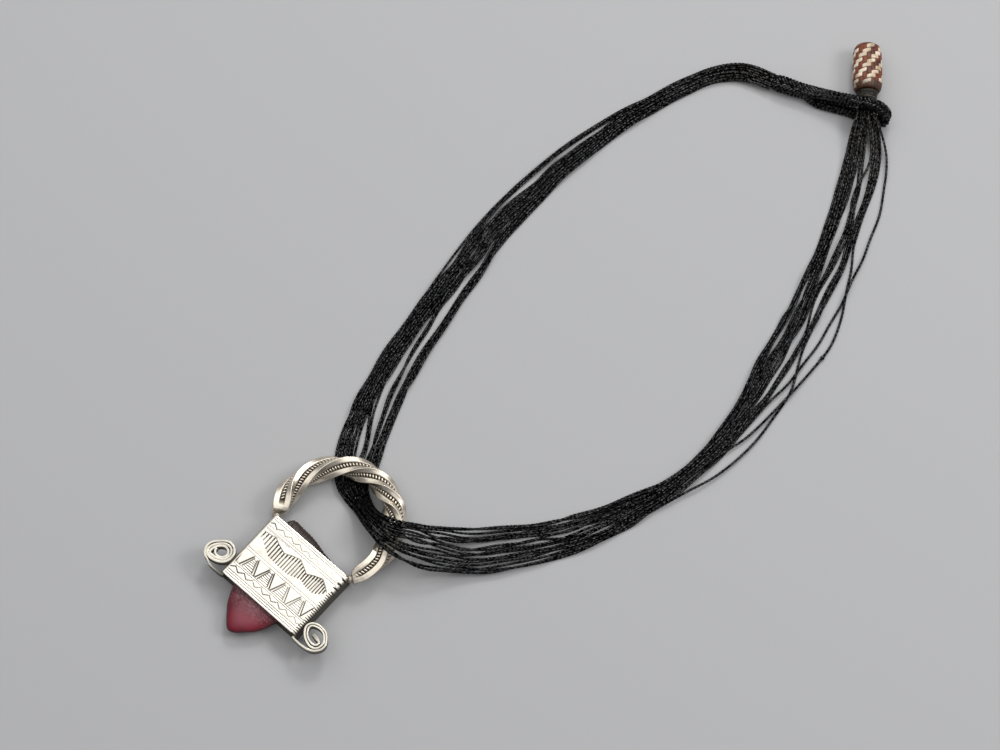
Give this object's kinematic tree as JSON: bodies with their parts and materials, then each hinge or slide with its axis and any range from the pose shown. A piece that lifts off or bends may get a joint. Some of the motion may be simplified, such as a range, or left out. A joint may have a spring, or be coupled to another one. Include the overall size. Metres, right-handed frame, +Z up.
{
  "type": "tuareg pendant necklace",
  "caption": "Folk pendant of a flat red stone in an engraved silver sleeve with rolled scrolls, on a twisted silver bail and a bundle of black waxed cords closed by a plaited toggle",
  "frame": {"origin": "middle of the pendant's outline, on the surface that it lies on", "axes": "+Z up from the surface, through the pendant's thin side; +Y from the stone's tip to the bail; +X to the right with the engraved front seen from above"},
  "size_m": [0.1391, 0.3439, 0.0133],
  "materials": {
    "silver": "hand-polished silver with dark tarnish in the engraving and the beaded channels",
    "stone": "matte wine red, rough and dark brown along its top edge",
    "cord": "black waxed twisted cotton",
    "braid": "the same waxed cords, braided",
    "thread": "dark thread, wound close",
    "plaited_leather": "thin leather strips, rust brown plaited with cream"
  },
  "bodies": {
    "root": {"silver_mount": "silver", "stone": "stone", "cord_bundle": "cord", "braided_loop": "braid", "neck_binding": "thread", "toggle": "plaited_leather"}
  },
  "joints": []
}
